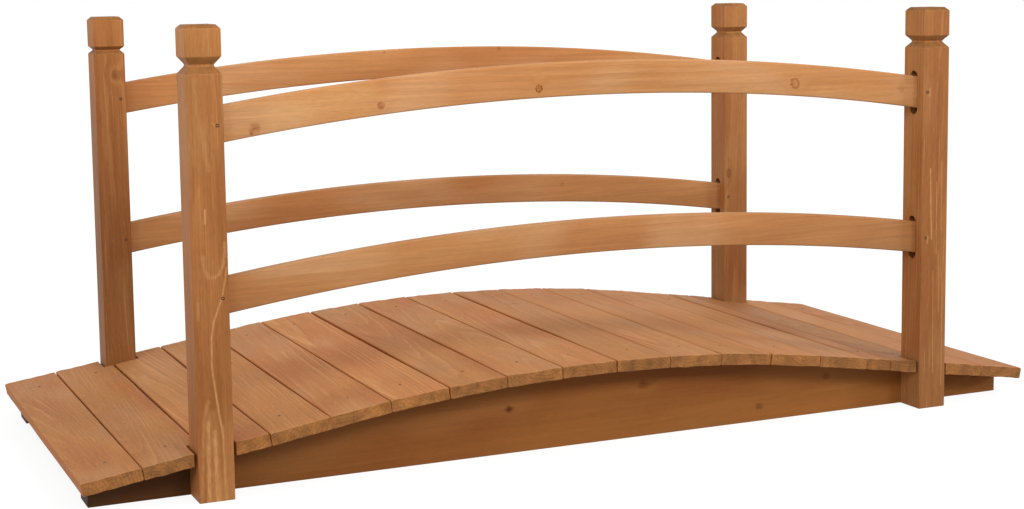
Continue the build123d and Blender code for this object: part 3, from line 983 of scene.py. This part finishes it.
# A Random Value node set to numbers keeps its upper limit at this socket
random_most = 3
spin_inputs = {random_most: math.pi, "Seed": screw["Seed"]}
spin = add(screw_rule, "FunctionNodeRandomValue", spin_inputs, data_type="FLOAT")
axle_inputs = {"Axis": (0.0, 0.0, 1.0), "Angle": spin}
spin_turn = add(screw_rule, "FunctionNodeAxisAngleToRotation", axle_inputs)
spun_inputs = {"Rotation": turned, "Rotate By": spin_turn}
spun = add(screw_rule, "FunctionNodeRotateRotation", spun_inputs, rotation_space="LOCAL")
place_inputs = {"Points": screw["Geometry"], "Instance": crossed, "Rotation": spun}
placed = add(screw_rule, "GeometryNodeInstanceOnPoints", place_inputs)
end_rule(screw_rule, placed, steel)
print("screw rule:", len(screw_rule.nodes), "nodes")

# %% Driving the screws
head_radii = {"deck_screws": 2.0, "rail_screws": 2.4, "post_screws": 2.8}
head_height, head_proud = 1.5, 0.15
drive_shares = (1.25, 0.3, 1.0)
screw_scatter = 9.0
rail_screw_inset = 8.0
post_screw_spread, post_screw_height = 10.0, 32.0
stringer_lines = [(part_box(node)[0].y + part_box(node)[1].y) / 2 for node in stringer_nodes]
deck_screws, rail_screws, post_screws = [], [], []
for middle, across, upward, thickness in seats.values():
    for y in stringer_lines:
        stray = draw.uniform(-screw_scatter, screw_scatter) * millimetre
        place = middle + upward * thickness + across * stray + back_way * y
        deck_screws.append((place, upward))
for post_node in post_nodes:
    low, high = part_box(post_node)
    inner_side = -1 if low.x > 0 else 1
    inner_x = high.x if inner_side > 0 else low.x
    for rail_node in rail_nodes:
        crown, radius = rail_lines[rail_node]
        if low.y < crown.y < high.y:
            height = crown.z - radius + math.sqrt(radius ** 2 - inner_x ** 2)
            place = Vector((inner_x - inner_side * rail_screw_inset * millimetre, low.y, height))
            rail_screws.append((place, -back_way))
    stringer_node = "stringer_front" if low.y < 0 else "stringer_back"
    inner_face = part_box(stringer_node)[1].y if low.y < 0 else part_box(stringer_node)[0].y
    for spread in (-1, 1):
        x = (low.x + high.x) / 2 + spread * post_screw_spread * millimetre
        place = Vector((x, inner_face, post_screw_height * millimetre))
        post_screws.append((place, back_way if low.y < 0 else -back_way))
screw_rows = {"deck_screws": deck_screws, "rail_screws": rail_screws, "post_screws": post_screws}
for seed, (name, screws) in enumerate(screw_rows.items()):
    cloud = bpy.data.meshes.new(name)
    sink = (head_proud - head_height) * millimetre
    cloud.from_pydata([place + way * sink for place, way in screws], [], [])
    facing = cloud.attributes.new("facing", "FLOAT_VECTOR", "POINT")
    facing.data.foreach_set("vector", [part for place, way in screws for part in way])
    values = {
        "Head radius": head_radii[name] * millimetre, "Head height": head_height * millimetre,
        "Drive": [share * head_radii[name] * millimetre for share in drive_shares], "Seed": seed,
    }
    piece = grow(name, screw_rule, values, cloud)
    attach(piece, "root")
    print(name, len(screws), "screws,", len(piece.data.polygons), "faces")

# %% [markdown]
# ## Floor, light and camera
# The bridge stands on a plain pale floor under a soft studio light: a dome fills the shadows, and a
# bank of lamps stands in an arc from the front right to the left. One large lamp would be as soft, but
# it would also shine in under the planks. A bank is wide and not tall, so the posts throw no clear
# shadow on the deck, while the planks still shade the stringer below them, and the floor throws some
# light back into that shade. One weak lamp at the back keeps that side readable. To the camera's own
# rays the floor and the world are white, so that the background is white without throwing more light
# on the wood, and the floor still takes a faint shadow.


# %% World and lamps
def seen_directly(tree):
    """One for rays that show a surface to the camera, straight or mirrored or through glass, else nothing."""
    rays = add(tree, "ShaderNodeLightPath").outputs
    seen = rays["Is Camera Ray"]
    for ray in ("Is Glossy Ray", "Is Transmission Ray"):
        seen = add(tree, "ShaderNodeMath", {0: seen, 1: rays[ray]}, operation="MAXIMUM")
    return seen


scene.view_settings.view_transform = "Standard"
dome_level = 0.52
white = (1.0, 1.0, 1.0, 1.0)
world = bpy.data.worlds.new("white_studio")
scene.world = world
tree = bare_tree(world)
level_range = {"Value": seen_directly(tree), "To Min": dome_level, "To Max": 1.0}
level = add(tree, "ShaderNodeMapRange", level_range)
background = add(tree, "ShaderNodeBackground", {"Color": white, "Strength": level})
add(tree, "ShaderNodeOutputWorld", {"Surface": background})
# Azimuth from the front towards the left, elevation and strength of each lamp
lamps = {
    "front_1": (-62, 17, 1.02), "front_2": (-24, 32, 0.66), "front_3": (15, 34, 0.44),
    "front_4": (45, 27, 0.38), "left": (75, 13, 0.76), "back": (200, 14, 0.70),
}
lamp_softness = 14
for name, (azimuth, elevation, strength) in lamps.items():
    lamp = bpy.data.lights.new(name, "SUN")
    lamp.energy = strength
    lamp.angle = math.radians(lamp_softness)
    holder = bpy.data.objects.new(name, lamp)
    compass_turn = Matrix.Rotation(math.radians(-azimuth), 4, "Z")
    holder.matrix_world = compass_turn @ Matrix.Rotation(math.radians(90 - elevation), 4, "X")
    holder.visible_glossy = name != "back"
    scene.collection.objects.link(holder)
print("lamps:", ", ".join(lamps), "under a dome of", dome_level)

# %% Floor
floor_size = 40.0
# The paint that the light meets, the paint that the camera sees, and the glow that whitens it there
floor_colour, floor_seen_colour, floor_glow = "#B4B4B4", "#727272", 0.89
floor_finish = bpy.data.materials.new("white_painted_floor")
tree = bare_tree(floor_finish)
seen = seen_directly(tree)
paint = lay_over(tree, linear(floor_colour), [(seen, floor_seen_colour)])
matt = add(tree, "ShaderNodeBsdfDiffuse", {"Color": paint})
glow_level = add(tree, "ShaderNodeMath", {0: seen, 1: floor_glow}, operation="MULTIPLY")
glow = add(tree, "ShaderNodeEmission", {"Color": white, "Strength": glow_level})
both = add(tree, "ShaderNodeAddShader", {0: matt, 1: glow})
add(tree, "ShaderNodeOutputMaterial", {"Surface": both})
floor_mesh = bpy.data.meshes.new("floor")
reach = floor_size / 2
floor_corners = [(-reach, -reach, 0), (reach, -reach, 0), (reach, reach, 0), (-reach, reach, 0)]
floor_mesh.from_pydata(floor_corners, [], [(0, 1, 2, 3)])
floor_mesh.materials.append(floor_finish)
floor = bpy.data.objects.new("floor", floor_mesh)
scene.collection.objects.link(floor)
print("floor", floor_size, "m wide")

# %% Camera
# Where the photograph was taken from, in metres and degrees, as fitted to the posts, rails and planks
camera_place = (-1.0739, -2.4235, 0.6409)
camera_yaw, camera_pitch, camera_roll = 23.88, -6.62, -0.75
picture_width, focal_pixels = 1024, 1804.9
sensor_width, lens_shift = 36.0, -0.07
camera_data = bpy.data.cameras.new("camera")
camera_data.sensor_width = sensor_width
camera_data.lens = focal_pixels / picture_width * sensor_width
camera_data.shift_y = lens_shift
camera = bpy.data.objects.new("camera", camera_data)
heading = Matrix.Rotation(math.radians(-camera_yaw), 4, "Z")
level_look = Matrix.Rotation(math.radians(90 + camera_pitch), 4, "X")
lean = Matrix.Rotation(math.radians(camera_roll), 4, "Z")
camera.matrix_world = Matrix.Translation(camera_place) @ heading @ level_look @ lean
scene.collection.objects.link(camera)
scene.camera = camera
print("lens", round(camera_data.lens, 1), "mm")
